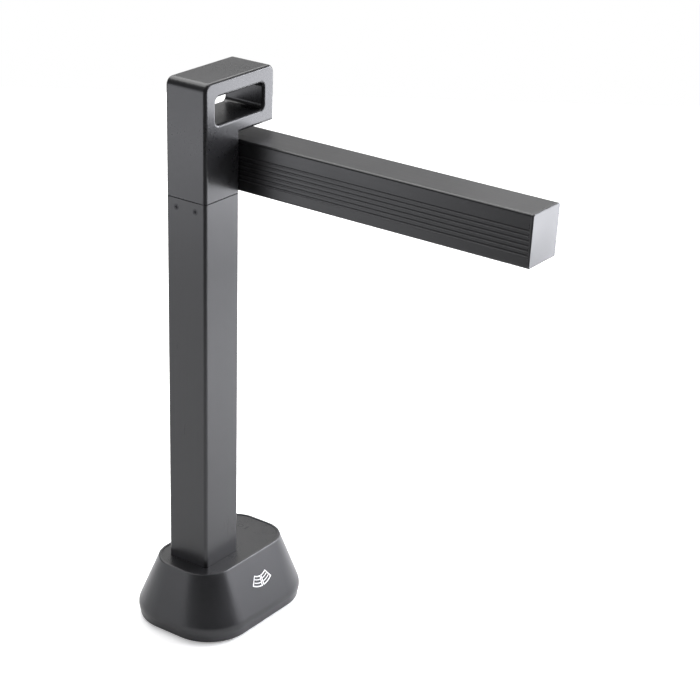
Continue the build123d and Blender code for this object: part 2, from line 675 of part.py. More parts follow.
def arm_cover_screws():
    return [flat_screw((0, 0, 1), (x, y, ARM_LOW), 1.9, 1.0, 6) for x, y in ARM_COVER_SCREWS]


def arm_end_cap():
    """The tip: its front face leans forward towards the top."""
    cap = rounded_along_y(ARM_LEFT, ARM_RIGHT, ARM_TIP, ARM_FRONT, ARM_LOW, ARM_TOP, ARM_ROUND)
    with BuildSketch(Plane.YZ) as wedge:
        with BuildLine():
            Polyline((ARM_TIP, ARM_TOP + 1), (ARM_TIP + ARM_TIP_SLANT, ARM_LOW - 1),
                     (ARM_TIP - 2, ARM_LOW - 1), (ARM_TIP - 2, ARM_TOP + 1), close=True)
        make_face()
    cap -= Pos(ARM_LEFT - 1, 0, 0) * extrude(wedge.sketch, ARM_WIDTH + 2)
    front = cap.faces().sort_by(Axis.Y)[0]
    cap = fillet(front.edges(), 0.7)
    cap += block(COVER_LEFT, COVER_RIGHT, ARM_FRONT, ARM_FRONT + 3, COVER_TOP + 0.1,
                 ARM_TOP - ARM_WALL - 0.1)
    for x, y in ARM_COVER_SCREWS[:2]:
        cap += block(x - 2.5, x + 2.5, ARM_FRONT, y + 2.5, COVER_TOP, COVER_TOP + LUG_HIGH)
        cap -= rod("Z", COVER_TOP - 1, COVER_TOP + LUG_HIGH + 1, x, y, 1.0)
    return cap


def arm_root_cap():
    cap = rounded_along_y(ARM_LEFT, ARM_RIGHT, ARM_BACK, COLUMN_BACK, ARM_LOW, ARM_TOP, ARM_ROUND)
    rear = cap.faces().sort_by(Axis.Y)[-1]
    cross = [e for e in rear.edges() if e.length > ARM_WIDTH - 4 and abs((e % 0).X) > 0.9]
    cap = fillet(cross, ROOT_ROUND)
    cap += block(COVER_LEFT, COVER_RIGHT, ARM_BACK - 3, ARM_BACK, COVER_TOP + 0.1,
                 ARM_TOP - ARM_WALL - 0.1)
    cap -= rod("X", COVER_LEFT - 1, FLANGE_RIGHT + 0.5, PIVOT_Y, PIVOT_Z, FLANGE_R + 0.4)
    for x, y in ARM_COVER_SCREWS[2:]:
        cap += block(x - 2.5, x + 2.5, y - 2.5, ARM_BACK, COVER_TOP, COVER_TOP + LUG_HIGH - 3.5)
        cap -= rod("Z", COVER_TOP - 1, COVER_TOP + LUG_HIGH + 1, x, y, 1.0)
    return cap


CAMERA_FRONT = LENS_Y - 12.0
CAMERA_BACK = LENS_Y + 14.0
CAMERA_HALF = 11.5
CAMERA_HIGH = 14.0
CAMERA_TOP = COVER_TOP + CAMERA_HIGH
CAMERA_SCREWS = at_corners(ARM_X, LENS_Y + 1.0, 9.3, 11.0)
BARREL_LOW = COVER_TOP + 1.5
BARREL_TOP = CAMERA_TOP - 3.0
RIM_R = 4.4


def camera_housing():
    """The lens holder, standing on the bottom cover."""
    housing = block(ARM_X - CAMERA_HALF, ARM_X + CAMERA_HALF, CAMERA_FRONT, CAMERA_BACK,
                    COVER_TOP, CAMERA_TOP)
    housing -= rod("Z", COVER_TOP - 1, BARREL_TOP, ARM_X, LENS_Y, LENS_R + 0.05)
    housing -= block(ARM_X - 5.5, ARM_X + 5.5, LENS_Y - 5, LENS_Y + 5, BARREL_TOP - 1, CAMERA_TOP + 1)
    for x, y in CAMERA_SCREWS:
        housing -= rod("Z", COVER_TOP - 1, CAMERA_TOP + 1, x, y, 0.9)
    return housing


def lens_barrel():
    """A threaded lens barrel with a stepped mouth for the front glass."""
    barrel = rod("Z", BARREL_LOW, BARREL_TOP - 1, ARM_X, LENS_Y, LENS_R)
    barrel -= rod("Z", BARREL_LOW - 1, BARREL_LOW + 1.8, ARM_X, LENS_Y, RIM_R)
    barrel -= cone_along((0, 0, 1), (ARM_X, LENS_Y, BARREL_LOW + 1.8), 3.6, 2.2, 4.0)
    return barrel - rod("Z", BARREL_LOW, BARREL_TOP, ARM_X, LENS_Y, 2.2)


def lens_glass():
    """The front lens, curved outwards."""
    disc = rod("Z", BARREL_LOW + 0.6, BARREL_LOW + 1.8, ARM_X, LENS_Y, RIM_R - 0.02)
    ball_r = 9.5
    return disc + (Pos(ARM_X, LENS_Y, BARREL_LOW + 0.6 + ball_r - 0.9) * Sphere(ball_r)
                   & rod("Z", BARREL_LOW - 0.5, BARREL_LOW + 1, ARM_X, LENS_Y, RIM_R - 0.3))


def camera_window():
    return rod("Z", ARM_LOW, ARM_LOW + WINDOW_THICK, ARM_X, LENS_Y, WINDOW_R - 0.05)


def image_sensor():
    return block(ARM_X - 4.5, ARM_X + 4.5, LENS_Y - 4, LENS_Y + 4, CAMERA_TOP - 1.2, CAMERA_TOP)


def camera_board():
    board = block(ARM_X - CAMERA_HALF, ARM_X + CAMERA_HALF, CAMERA_FRONT, CAMERA_BACK + 6,
                  CAMERA_TOP, CAMERA_TOP + BOARD_THICK)
    for x, y in CAMERA_SCREWS:
        board -= rod("Z", CAMERA_TOP - 1, CAMERA_TOP + 3, x, y, 0.9)
    return board


def camera_screws():
    seat = CAMERA_TOP + BOARD_THICK
    length = seat - ARM_LOW - 1.0
    return [pan_screw((0, 0, -1), (x, y, seat), 1.6, 1.1, 0.8, length) for x, y in CAMERA_SCREWS]


def led_board():
    half = STRIP_HALF + 3.3
    return block(ARM_X - half, ARM_X + half, STRIP_FRONT, STRIP_BACK, COVER_TOP + 5, COVER_TOP + 6)


def leds():
    pitch = LED_STRIP / LED_COUNT
    return [block(ARM_X - 1.4, ARM_X + 1.4, y - 1.75, y + 1.75, COVER_TOP + 4.2, COVER_TOP + 5)
            for y in [STRIP_FRONT + pitch * (index + 0.5) for index in range(LED_COUNT)]]


def led_diffuser():
    gap = 0.05
    return block(ARM_X - STRIP_HALF + gap, ARM_X + STRIP_HALF - gap, STRIP_FRONT + gap,
                 STRIP_BACK - gap, ARM_LOW, COVER_TOP)


def arm_cable():
    """From the camera board back to the hinge's hollow shaft."""
    board_edge = CAMERA_BACK + 6
    height = CAMERA_TOP + BOARD_THICK / 2
    points = [(-10, PIVOT_Y, PIVOT_Z), (ARM_X, PIVOT_Y, PIVOT_Z), (ARM_X, PIVOT_Y - 50, height),
              (ARM_X, board_edge, height)]
    return cable(points, [8.0, 60.0])


# ---------------------------------------------------------------- write the nodes
save(base_shell(), "base_shell")
save(deck_panel(), "deck_panel")
save(group(touch_key_marks()), "touch_key_marks")
save(touch_sensor_board(), "touch_sensor_board")
save(base_plate(), "base_plate")
save(group(plate_screws(BASE_POSTS)), "base_plate_screws")
save(group(plate_screws(BALLAST_SCREWS)), "ballast_screws")
save(ballast_weight(), "ballast_weight")
save(rubber_pad(), "rubber_pad")
save(column_foot(), "column_foot")
save(group(column_foot_screws()), "column_foot_screws")
save(group(column_tube_screws()), "column_tube_screws")
save(base_board(), "base_board")
save(group(board_standoffs()), "board_standoffs")
save(group(board_screws()), "board_screws")
save(usb_socket(), "usb_socket")
save(column_tube(), "column_tube")
save(group(column_screws()), "column_screws")
save(column_cable(), "column_cable")
save(head_housing(), "head_housing")
save(head_rear_cover(), "head_rear_cover")
save(group(head_cover_screws()), "head_cover_screws")
save(head_frame(), "head_frame")
save(group(head_frame_screws()), "head_frame_screws")
save(hinge_shaft(), "hinge_shaft")
save(group(hinge_bushes()), "hinge_bushes")
save(group(friction_washers()), "friction_washers")
save(group(disc_springs()), "disc_springs")
save(hinge_nut(), "hinge_nut")
save(thrust_washer(), "thrust_washer")
save(group(hinge_flange_screws()), "hinge_flange_screws")
save(arm_extrusion(), "arm_extrusion")
save(arm_bottom_cover(), "arm_bottom_cover")
save(group(arm_cover_screws()), "arm_cover_screws")
save(arm_end_cap(), "arm_end_cap")
save(arm_root_cap(), "arm_root_cap")
save(camera_housing(), "camera_housing")
save(lens_barrel(), "lens_barrel")
save(lens_glass(), "lens_glass")
save(camera_window(), "camera_window")
save(image_sensor(), "image_sensor")
save(camera_board(), "camera_board")
save(group(camera_screws()), "camera_screws")
save(led_board(), "led_board")
save(group(leds()), "leds")
save(led_diffuser(), "led_diffuser")
save(arm_cable(), "arm_cable")
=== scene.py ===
# %% [markdown]
# # A desk book scanner
# This lesson dresses a finished engineering model of a desk book scanner: a weighted
# base, a square column, a head with a carrying handle, and a camera arm that folds down.
# The engineering model is loaded first and is never changed. Every finish is made from
# nodes, and a few small printed and moulded details are modelled here.

# %% Load the engineering model
import math

import bpy
from mathutils import Matrix, Vector


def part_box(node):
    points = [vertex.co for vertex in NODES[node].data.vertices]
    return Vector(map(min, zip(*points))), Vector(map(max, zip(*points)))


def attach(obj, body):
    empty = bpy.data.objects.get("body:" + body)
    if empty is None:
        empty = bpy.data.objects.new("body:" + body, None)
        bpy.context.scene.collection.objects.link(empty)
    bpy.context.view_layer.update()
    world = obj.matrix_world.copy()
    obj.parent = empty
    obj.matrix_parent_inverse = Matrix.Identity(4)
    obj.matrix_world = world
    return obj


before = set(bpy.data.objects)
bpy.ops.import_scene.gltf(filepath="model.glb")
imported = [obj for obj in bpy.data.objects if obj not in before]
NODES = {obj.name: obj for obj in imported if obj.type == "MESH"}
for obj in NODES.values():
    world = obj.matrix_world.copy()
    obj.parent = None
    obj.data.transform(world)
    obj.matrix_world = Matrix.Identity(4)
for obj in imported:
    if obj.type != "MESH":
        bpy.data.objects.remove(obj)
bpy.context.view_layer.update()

MM = 0.001

# %% [markdown]
# ## Camera
# A long lens keeps the column's edges nearly parallel. A camera could be dragged into
# place by eye, but plain values are easier to check: which way it looks, how steeply it
# looks down, how far away it stands, and how much the tripod's head leans. Its three axes
# are worked out from those values.

# %% Camera
AZIMUTH = math.radians(-54.504)
ELEVATION = math.radians(23.418)
LEAN = math.radians(1.665)
DISTANCE = 1.34055
AIM = Vector((0.0497, -0.0697, 0.1940))
LENS = 104.47
SENSOR_WIDTH = 36.0
NEAREST = 0.05


def look_direction(azimuth, elevation):
    """The way a camera looks: azimuth 0 looks along +Y, and elevation looks down."""
    flat = math.cos(elevation)
    return Vector((-math.sin(azimuth) * flat, math.cos(azimuth) * flat, -math.sin(elevation)))


def add_camera():
    """A camera that looks along two angles and leans a little about its own axis."""
    camera = bpy.data.objects.new("camera", bpy.data.cameras.new("camera"))
    bpy.context.scene.collection.objects.link(camera)
    forward = look_direction(AZIMUTH, ELEVATION)
    right = forward.cross(Vector((0, 0, 1))).normalized()
    up = right.cross(forward)
    leaning_right = right * math.cos(LEAN) + up * math.sin(LEAN)
    leaning_up = up * math.cos(LEAN) - right * math.sin(LEAN)
    axes = Matrix((leaning_right, leaning_up, -forward)).transposed()
    camera.matrix_world = Matrix.Translation(AIM - forward * DISTANCE) @ axes.to_4x4()
    camera.data.lens = LENS
    camera.data.sensor_width = SENSOR_WIDTH
    camera.data.clip_start = NEAREST
    bpy.context.scene.camera = camera
    return camera


camera = add_camera()
print("camera at", [round(v, 3) for v in camera.matrix_world.translation])

# %% [markdown]
# ## Floor
# The scanner stands on one large sheet of pale paper. Its shadow should stay faint, so
# the paper also gives off a little light, as if a lamp stood under it. Real glow would
# light the scanner from below as well, so the glow is switched on for camera rays only.
# The sheet ends just in front of the tripod and is turned to face it.

# %% Floor
FLOOR_FRONT = -0.5
FLOOR_BACK = 1.25
FLOOR_WIDTH = 2.4
FLOOR_DROP = 0.2 * MM
FLOOR_WHITE = (0.93, 0.93, 0.93, 1.0)
PAPER_ROUGHNESS = 0.9
UNDER_LIGHT = 0.35


def lit_paper():
    """Pale paper that glows faintly, but only where the camera sees it."""
    paper = bpy.data.materials.new("floor_paper")
    paper.use_nodes = True
    nodes, links = paper.node_tree.nodes, paper.node_tree.links
    sheet = nodes["Principled BSDF"]
    sheet.inputs["Base Color"].default_value = FLOOR_WHITE
    sheet.inputs["Roughness"].default_value = PAPER_ROUGHNESS
    path = nodes.new("ShaderNodeLightPath")
    strength = nodes.new("ShaderNodeMath")
    strength.operation = "MULTIPLY"
    strength.inputs[1].default_value = UNDER_LIGHT
    glow = nodes.new("ShaderNodeEmission")
    total = nodes.new("ShaderNodeAddShader")
    links.new(path.outputs["Is Camera Ray"], strength.inputs[0])
    links.new(strength.outputs[0], glow.inputs["Strength"])
    links.new(sheet.outputs[0], total.inputs[0])
    links.new(glow.outputs[0], total.inputs[1])
    links.new(total.outputs[0], nodes["Material Output"].inputs["Surface"])
    return paper


def add_floor():
    """A pale sheet, squared up to the camera, which ends in front of the tripod."""
    away = look_direction(AZIMUTH, 0.0)
    middle = away * (FLOOR_FRONT + FLOOR_BACK) / 2
    bpy.ops.mesh.primitive_plane_add(size=1, location=(middle.x, middle.y, -FLOOR_DROP),
                                     rotation=(0, 0, AZIMUTH))
    floor = bpy.context.object
    floor.scale = (FLOOR_WIDTH, FLOOR_BACK - FLOOR_FRONT, 1)
    floor.name = "studio_floor"
    floor.data.materials.append(lit_paper())
    bpy.ops.object.transform_apply(location=True, rotation=True, scale=True)
    return floor


floor = add_floor()
print("floor:", [round(v, 2) for v in floor.dimensions], "m")

# %% [markdown]
# ## Surroundings
# A dim even light comes from all round, so that no side goes black. Where the camera looks
# past the floor it should see plain white, so the surroundings have two backgrounds and
# the kind of ray picks one of them.

# %% Surroundings
WHITE = (1.0, 1.0, 1.0, 1.0)
GLOW = 0.16


def add_world():
    """Even light all round, and plain white where the camera sees past the floor."""
    world = bpy.data.worlds.new("studio")
    world.use_nodes = True
    bpy.context.scene.world = world
    nodes, links = world.node_tree.nodes, world.node_tree.links
    nodes.clear()
    glow = nodes.new("ShaderNodeBackground")
    glow.inputs["Color"].default_value = WHITE
    glow.inputs["Strength"].default_value = GLOW
    backdrop = nodes.new("ShaderNodeBackground")
    backdrop.inputs["Color"].default_value = WHITE
    path = nodes.new("ShaderNodeLightPath")
    mix = nodes.new("ShaderNodeMixShader")
    out = nodes.new("ShaderNodeOutputWorld")
    links.new(path.outputs["Is Camera Ray"], mix.inputs[0])
    links.new(glow.outputs[0], mix.inputs[1])
    links.new(backdrop.outputs[0], mix.inputs[2])
    links.new(mix.outputs[0], out.inputs["Surface"])
    return world


world = add_world()
bpy.context.scene.view_settings.view_transform = "Standard"
print("surroundings:", len(world.node_tree.nodes), "nodes")

# %% [markdown]
# ## Light cards
# A dark satin object shows mostly what it mirrors, so small lamps would give hot spots and
# the lights are large soft cards instead. One stands low in front on the right and gives
# the head and column their bright front. One stands behind on the left and one hangs
# overhead. The side behind the camera stays dim, which draws the rounded edges as dark
# lines. A small bright card draws a thin light line along the base's lip, and weak cards
# behind and on the right fill the sides that face away.

# %% Light cards
COOL = (0.93, 0.94, 1.0)
NEUTRAL = (1.0, 1.0, 1.0)
FRONT_OF_COLUMN = Vector((0.0, -0.12, 0.25))
LEFT_OF_COLUMN = Vector((-0.03, 0.0, 0.24))
UPPER_COLUMN = Vector((0.0, 0.0, 0.25))
BEHIND_RIGHT = Vector((0.3, 0.35, 0.0))
BASE_FRONT = Vector((0.0, -0.03, 0.05))


def add_card(name, place, target, size, power, colour=NEUTRAL):
    """A soft rectangular light that stands at place and faces target."""
    data = bpy.data.lights.new(name, "AREA")
    data.shape = "RECTANGLE"
    data.size, data.size_y = size
    data.energy = power
    data.color = colour
    card = bpy.data.objects.new(name, data)
    bpy.context.scene.collection.objects.link(card)
    direction = target - Vector(place)
    card.rotation_euler = direction.to_track_quat("-Z", "Y").to_euler()
    card.location = place
    card.visible_camera = False
    return card


cards = [
    add_card("front_right_card", (0.46, -0.40, 0.29), FRONT_OF_COLUMN, (0.62, 0.40), 6.3, COOL),
    add_card("back_left_card", (-0.52, 0.38, 0.24), LEFT_OF_COLUMN, (0.44, 0.34), 1.35, COOL),
    add_card("overhead_card", (0.50, 0.60, 1.5), BEHIND_RIGHT, (1.8, 1.8), 38.0),
    add_card("back_card", (1.3, 1.0, 0.85), UPPER_COLUMN, (1.6, 1.2), 1.6),
    add_card("edge_card", (0.60, -0.36, 0.56), BASE_FRONT, (0.34, 0.14), 3.0, COOL),
    add_card("rear_fill_card", (0.55, 0.85, 0.27), UPPER_COLUMN, (0.8, 0.4), 1.2),
    add_card("right_fill_card", (1.1, 0.15, 0.35), UPPER_COLUMN, (0.6, 0.5), 1.2),
]
print("light cards:", len(cards))

# %% [markdown]
# ## A small language for shaders
# A finish is a web of nodes, and wiring them one at a time hides the idea. Shader maths
# reads best as ordinary sums, so Wire wraps one output socket, and adding or multiplying
# wires adds the Math nodes.

# %% Sums on wires
class Wire:
    """One output socket. Sums and products of wires become Math nodes."""

    def __init__(self, finish, socket):
        self.finish = finish
        self.socket = socket

    def math(self, operation, *others):
        return self.finish.node("ShaderNodeMath", {"operation": operation}, [self, *others])

    def __add__(self, other):
        return self.math("ADD", other)

    def __sub__(self, other):
        return self.math("SUBTRACT", other)

    def __mul__(self, other):
        return self.math("MULTIPLY", other)

    def __truediv__(self, other):
        return self.math("DIVIDE", other)

    def __rsub__(self, other):
        return self.finish.node("ShaderNodeMath", {"operation": "SUBTRACT"}, [other, self])

    __radd__ = __add__
    __rmul__ = __mul__

    def low(self, other):
        return self.math("MINIMUM", other)

    def high(self, other):
        return self.math("MAXIMUM", other)

    def away(self, centre):
        """How far this value is from centre, either way."""
        return (self - centre).math("ABSOLUTE")

    def step(self, start, end):
        """0 at start, 1 at end, and a smooth rise between them."""
        settings = {"interpolation_type": "SMOOTHSTEP"}
        return self.finish.node("ShaderNodeMapRange", settings, {0: self, 1: start, 2: end})


print("sums on wires ready")

# %% [markdown]
# ## One finish, one material
# Finish owns one material and makes every other node through one method, node. What is
# the same all over is set on the shader itself. What varies is made from noise and cells
# that read object coordinates in metres, so a grain of half a millimetre is asked for as
# half a millimetre. Corners and edges of a casing rub brighter with use, and wear finds
# them from the casing's box.

# %% Finishes
class Finish:
    """One material: a Principled shader and the nodes that feed it."""

    def __init__(self, name, colour, roughness, **constants):
        self.material = bpy.data.materials.new(name)
        self.material.use_nodes = True
        self.tree = self.material.node_tree
        self.shader = self.tree.nodes["Principled BSDF"]
        self.colour = (*colour, 1.0)
        self.set("Base Color", self.colour)
        self.set("Roughness", roughness)
        for socket, value in constants.items():
            self.set(socket.replace("_", " "), value)
        self.place = self.node("ShaderNodeTexCoord", {}, {}, "Object")

    def set(self, socket, value):
        """Feeds a socket of the shader with a constant or a wire."""
        self.plug(self.shader.inputs[socket], value)

    def plug(self, socket, value):
        """Links a wire to a socket, or gives the socket a constant."""
        if isinstance(value, Wire):
            self.tree.links.new(value.socket, socket)
        else:
            socket.default_value = value

    def node(self, kind, settings, sockets, out=0):
        """Makes one node: its settings first, then its inputs, as constants or wires."""
        made = self.tree.nodes.new(kind)
        for name, value in settings.items():
            setattr(made, name, value)
        pairs = sockets.items() if isinstance(sockets, dict) else enumerate(sockets)
        for key, value in pairs:
            self.plug(made.inputs[key], value)
        return Wire(self, made.outputs[out])

    def axes(self):
        """The three object coordinates, in metres."""
        parts = self.tree.nodes.new("ShaderNodeSeparateXYZ")
        self.plug(parts.inputs[0], self.place)
        return [Wire(self, output) for output in parts.outputs]

    def stretched(self, scale):
        """Object coordinates scaled along each axis, for grain that runs one way."""
        return self.node("ShaderNodeMapping", {}, {"Vector": self.place, "Scale": scale})

    def noise(self, size, detail=2.0, where=None):
        """Soft noise whose features are about size metres across."""
        sockets = {"Vector": where or self.place, "Scale": 1.0 / size, "Detail": detail}
        return self.node("ShaderNodeTexNoise", {}, sockets)

    def cells(self, size):
        """Distance to the nearest of scattered points that lie about size metres apart."""
        sockets = {"Vector": self.place, "Scale": 1.0 / size}
        return self.node("ShaderNodeTexVoronoi", {}, sockets)

    def tint(self, factor, colour):
        """Mixes the finish's own colour towards another one."""
        before = self.shader.inputs["Base Color"]
        base = Wire(self, before.links[0].from_socket) if before.is_linked else self.colour
        settings = {"data_type": "RGBA"}
        sockets = {0: factor, 6: base, 7: (*colour, 1.0)}
        self.set("Base Color", self.node("ShaderNodeMix", settings, sockets, 2))

    def bump(self, height, depth, strength=1.0):
        """Raises the surface by height, where 1 is depth metres."""
        sockets = {"Height": height, "Distance": depth, "Strength": strength}
        self.set("Normal", self.node("ShaderNodeBump", {}, sockets))

    def wear(self, low, high, width):
        """1 along the edges of a box and 0 on its faces, broken up by noise."""
        gaps = []
        for axis, start, end in zip(self.axes(), low, high):
            gaps.append((end - start) / 2 - axis.away((start + end) / 2))
        x, y, z = gaps
        second = x.low(y).high(x.high(y).low(z))
        return (1.0 - second.step(0.0, width)) * self.noise(6 * MM, 3.0).step(0.35, 0.7)

    def dress(self, *names):
        """Puts this finish on engineering nodes or new pieces."""
        for name in names:
            piece = NODES.get(name) or bpy.data.objects[name]
            piece.data.materials.clear()
            piece.data.materials.append(self.material)


def scaled(colour, factor):
    """A lighter or darker colour of the same hue."""
    return tuple(channel * factor for channel in colour)


print("finishes ready")

# %% [markdown]
# ## Satin casings and profiles
# The column and arm are aluminium extrusions, bead-blasted and anodised dark, so they
# have a fine grain and faint lines along their length. The head is painted to match, and
# the base is moulded plastic with a spark-eroded texture. A tiled picture could give the
# grain, but it would show seams on the rounded edges, and noise has none. The lines come
# from noise that is squeezed along the profile.

# %% Satin finishes
def satin_metal(name, colour, roughness, grain, box, width):
    """Dark anodised or painted metal. grain scales the coordinates along the extrusion."""
    finish = Finish(name, colour, roughness, Specular_IOR_Level=0.46)
    cloud = finish.noise(50 * MM, 2.0)
    speck = finish.noise(0.6 * MM, 2.0)
    lines = finish.noise(1.2 * MM, 3.0, finish.stretched(grain))
    finish.tint((cloud * 0.5 + lines * 0.5).step(0.35, 0.65) * 0.5, scaled(colour, 1.22))
    edges = finish.wear(*box, width)
    finish.tint(edges * 0.35, scaled(colour, 2.2))
    finish.set("Roughness", roughness + (cloud - 0.5) * 0.10 + (lines - 0.5) * 0.12 - edges * 0.05)
    finish.bump(speck * 0.7 + lines * 0.6, 0.008 * MM, 0.3)
    return finish


def moulded_plastic(name, colour, roughness, box, width):
    """Dark moulded plastic with a spark-eroded texture and slightly rubbed edges."""
    finish = Finish(name, colour, roughness)
    cloud = finish.noise(30 * MM, 3.0)
    pits = finish.cells(0.5 * MM)
    finish.tint(cloud.step(0.35, 0.7) * 0.4, scaled(colour, 1.2))
    edges = finish.wear(*box, width)
    finish.tint(edges * 0.3, scaled(colour, 2.0))
    finish.set("Roughness", roughness + (cloud - 0.5) * 0.12 + (pits - 0.5) * 0.05)
    finish.bump(pits * 0.6 + finish.noise(0.3 * MM, 2.0) * 0.4, 0.012 * MM, 0.4)
    return finish


GRAPHITE = (0.016, 0.016, 0.0175)
CHARCOAL = (0.011, 0.011, 0.012)
SLATE = (0.016, 0.016, 0.018)
ALONG_COLUMN = (1.0, 1.0, 0.02)
ALONG_ARM = (1.0, 0.02, 1.0)
SPRAYED = (1.0, 1.0, 0.6)
satin_metal("anodised_column", GRAPHITE, 0.31, ALONG_COLUMN,
            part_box("column_tube"), 1.2 * MM).dress("column_tube")
satin_metal("painted_head", GRAPHITE, 0.30, SPRAYED,
            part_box("head_housing"), 1.2 * MM).dress("head_housing", "head_rear_cover")
satin_metal("anodised_arm", CHARCOAL, 0.31, ALONG_ARM,
            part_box("arm_extrusion"), 1.0 * MM).dress("arm_extrusion")
moulded_plastic("moulded_base", SLATE, 0.33,
                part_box("base_shell"), 1.5 * MM).dress("base_shell")
moulded_plastic("moulded_deck", CHARCOAL, 0.30,
                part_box("deck_panel"), 1.0 * MM).dress("deck_panel")
moulded_plastic("moulded_caps", GRAPHITE, 0.34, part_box("arm_end_cap"), 0.8 * MM).dress(
    "arm_end_cap", "arm_root_cap", "arm_bottom_cover")
print("satin finishes:", len(bpy.data.materials))

# %% [markdown]
# ## Small steel parts
# Screws, washers and the hinge are bare or plated steel. Turning and rolling leave fine
# lines, and handling leaves smudges, so the roughness is never quite even. The screws
# that show are blackened in a hot oxide bath, which dulls them. The ballast is sand-cast
# iron and the two frames are die-cast, so those have a pitted skin in place of tool marks.

# %% Metals
def bare_metal(name, colour, roughness, grain, smudge=0.12, metal=1.0):
    """Machined or plated metal. grain scales the coordinates along the tool marks."""
    finish = Finish(name, colour, roughness, Metallic=metal)
    lines = finish.noise(0.4 * MM, 3.0, finish.stretched(grain))
    cloud = finish.noise(8 * MM, 3.0)
    finish.tint(cloud.step(0.4, 0.75) * 0.45, scaled(colour, 0.72))
    finish.set("Roughness", roughness + (cloud - 0.5) * smudge + (lines - 0.5) * 0.15)
    finish.bump(lines, 0.012 * MM, 0.4)
    return finish


def cast_metal(name, colour, roughness, size):
    """Sand-cast or die-cast metal: a pitted skin with darker hollows."""
    finish = Finish(name, colour, roughness, Metallic=0.85)
    pits = finish.cells(size)
    cloud = finish.noise(size * 8, 4.0)
    finish.tint(cloud.step(0.35, 0.7) * 0.6, scaled(colour, 0.6))
    finish.set("Roughness", roughness + (cloud - 0.5) * 0.2 + (pits - 0.4) * 0.1)
    finish.bump(pits * 0.6 + finish.noise(size / 3, 3.0) * 0.4, size * 0.08, 0.6)
    return finish


bare_metal("rolled_steel", (0.50, 0.51, 0.52), 0.30, (0.05, 1.0, 1.0)).dress(
    "base_plate", "hinge_shaft", "friction_washers", "disc_springs", "hinge_nut", "usb_socket")
bare_metal("zinc_plate", (0.62, 0.63, 0.60), 0.32, (1.0, 1.0, 0.1)).dress(
    "base_plate_screws", "ballast_screws", "column_foot_screws", "column_tube_screws",
    "board_screws", "head_frame_screws", "hinge_flange_screws", "camera_screws")
bare_metal("black_oxide", (0.030, 0.030, 0.032), 0.42, (1.0, 1.0, 0.2), 0.16, 0.6).dress(
    "column_screws", "head_cover_screws", "arm_cover_screws")
cast_metal("cast_iron", (0.060, 0.058, 0.056), 0.62, 1.6 * MM).dress("ballast_weight")
cast_metal("cast_aluminium", (0.42, 0.42, 0.43), 0.46, 0.9 * MM).dress(
    "column_foot", "head_frame")
bare_metal("turned_bronze", (0.52, 0.34, 0.15), 0.30, (1.0, 0.15, 0.15)).dress(
    "hinge_bushes", "board_standoffs")
print("finishes so far:", len(bpy.data.materials))

# %% [markdown]
# ## Rubber, cable and plain plastics
# The pad under the base is moulded with rows of small dimples that grip the desk. The
# dimples could be cut into the mesh, but they are only a fraction of a millimetre deep, so
# a repeating fraction of the coordinates makes them as a bump. The cable has a slightly
# glossy PVC skin, and the washer is slippery filled plastic. The key marks are printed on
# the deck in matt ink.

# %% Rubber and plastics
DUST = (0.10, 0.10, 0.095)


def soft_plastic(name, colour, roughness, size):
    """Plain plastic with a fine moulded skin and faint clouds."""
    finish = Finish(name, colour, roughness)
    cloud = finish.noise(12 * MM, 3.0)
    skin = finish.noise(size, 2.0)
    finish.tint(cloud.step(0.3, 0.75) * 0.5, scaled(colour, 1.45))
    finish.set("Roughness", roughness + (cloud - 0.5) * 0.18 + (skin - 0.5) * 0.1)
    finish.bump(skin, size * 0.1, 0.5)
    return finish


def dimpled_rubber(name, colour, pitch):
    """Rubber with a square grid of dimples, dusty in the hollows."""
    finish = Finish(name, colour, 0.82)
    x, y, _ = finish.axes()
    across = (x / pitch).math("FRACT").away(0.5)
    along = (y / pitch).math("FRACT").away(0.5)
    away = (across * across + along * along).math("SQRT")
    flat = away.step(0.22, 0.32)
    dust = finish.noise(10 * MM, 4.0)
    finish.tint(dust.step(0.45, 0.8) * 0.35 + (1.0 - flat) * 0.15, DUST)
    finish.set("Roughness", 0.74 + dust * 0.16)
    finish.bump(flat + finish.noise(0.4 * MM, 2.0) * 0.15, 0.3 * MM, 0.7)
    return finish


dimpled_rubber("dimpled_rubber", (0.020, 0.020, 0.020), 4.5 * MM).dress("rubber_pad")
soft_plastic("cable_skin", (0.014, 0.014, 0.015), 0.38, 0.8 * MM).dress(
    "column_cable", "arm_cable")
soft_plastic("filled_washer", (0.030, 0.030, 0.032), 0.45, 0.4 * MM).dress("thrust_washer")
soft_plastic("inner_plastic", (0.018, 0.018, 0.019), 0.50, 0.5 * MM).dress("camera_housing")
soft_plastic("key_ink", (0.006, 0.006, 0.007), 0.62, 0.2 * MM).dress("touch_key_marks")
print("finishes so far:", len(bpy.data.materials))

# %% [markdown]
# ## Circuit boards
# The boards are glass fibre under a green lacquer, with copper tracks that show through
# as paler lines. Drawn tracks would need a layout, so a coarse grid is bent by noise and
# kept only in patches, which reads as tracks at this size.

# %% Circuit boards
TRACK_ACROSS = 2.1 * MM
TRACK_ALONG = 2.7 * MM


def circuit_board(name, lacquer, track):
    """Green lacquer over copper tracks, laid out by a coarse grid that noise bends."""
    finish = Finish(name, lacquer, 0.32, Coat_Weight=0.4)
    x, y, _ = finish.axes()
    bend = finish.noise(6 * MM, 1.0) * 0.8
    across = (x / TRACK_ACROSS + bend).math("FRACT").away(0.5)
    along = (y / TRACK_ALONG + bend).math("FRACT").away(0.5)
    copper = 1.0 - across.low(along).step(0.07, 0.11)
    patch = finish.noise(4 * MM, 1.0).step(0.45, 0.55)
    finish.tint(copper * patch * 0.8, track)
    finish.set("Roughness", 0.30 + finish.noise(3 * MM, 3.0) * 0.12)
    finish.bump(copper * patch, 0.03 * MM, 0.6)
    return finish


circuit_board("green_board", (0.010, 0.060, 0.026), (0.050, 0.200, 0.080)).dress(
    "base_board", "touch_sensor_board", "camera_board", "led_board")
print("finishes so far:", len(bpy.data.materials))

